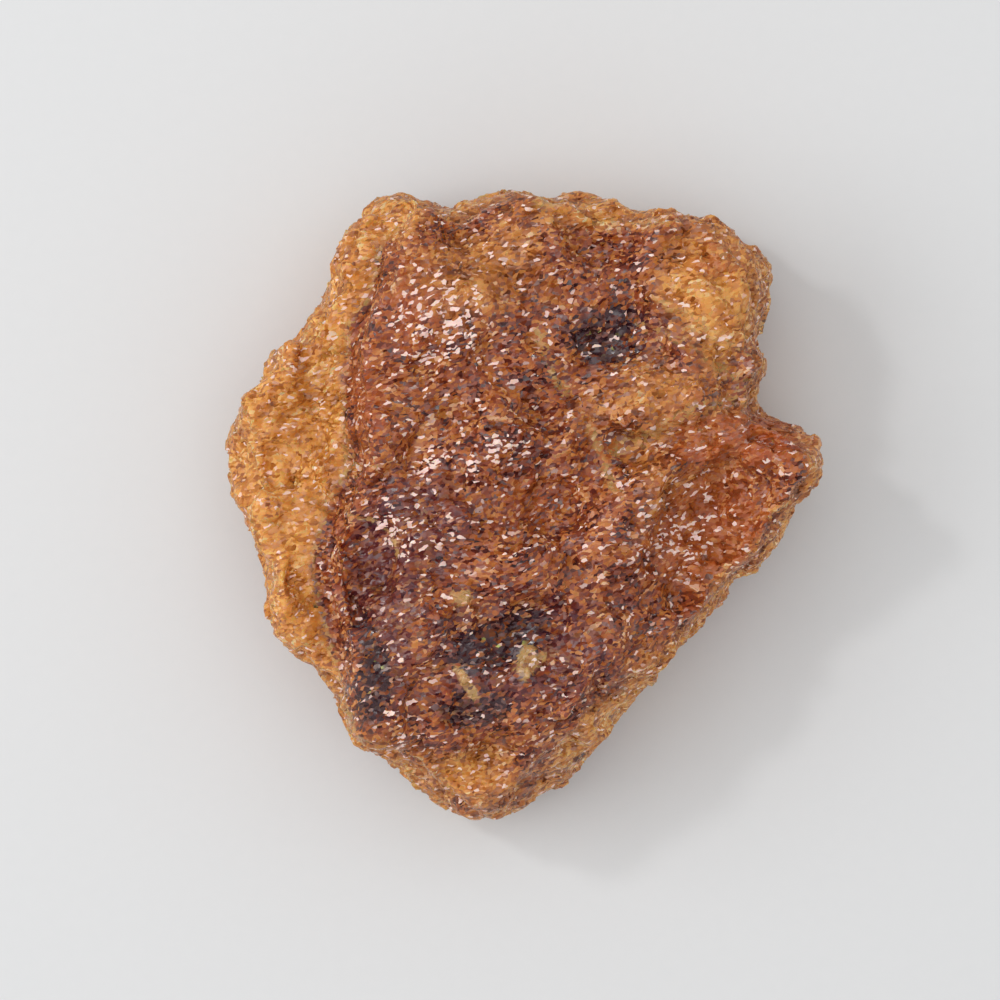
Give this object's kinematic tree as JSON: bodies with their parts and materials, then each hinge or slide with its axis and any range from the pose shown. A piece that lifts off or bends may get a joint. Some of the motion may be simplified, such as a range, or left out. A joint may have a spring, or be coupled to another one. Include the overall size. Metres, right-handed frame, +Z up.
{
  "type": "raw byelorussite",
  "caption": "Raw broken fragment of byelorussite, a translucent red-brown mineral, with a rough plateau, a lower side ledge and a blunt wing, resting on a flat cleavage face.",
  "frame": {"origin": "centre of the bounding box, on the flat cleavage face that the stone rests on", "axes": "+Z up from the resting face, +Y from the narrow toe to the broad top edge, +X to the wing"},
  "size_m": [0.0048, 0.005, 0.0022],
  "materials": {
    "byelorussite": "rough broken, glassy sparkle, slightly translucent"
  },
  "bodies": {
    "root": {"byelorussite_fragment": "byelorussite"}
  },
  "joints": []
}
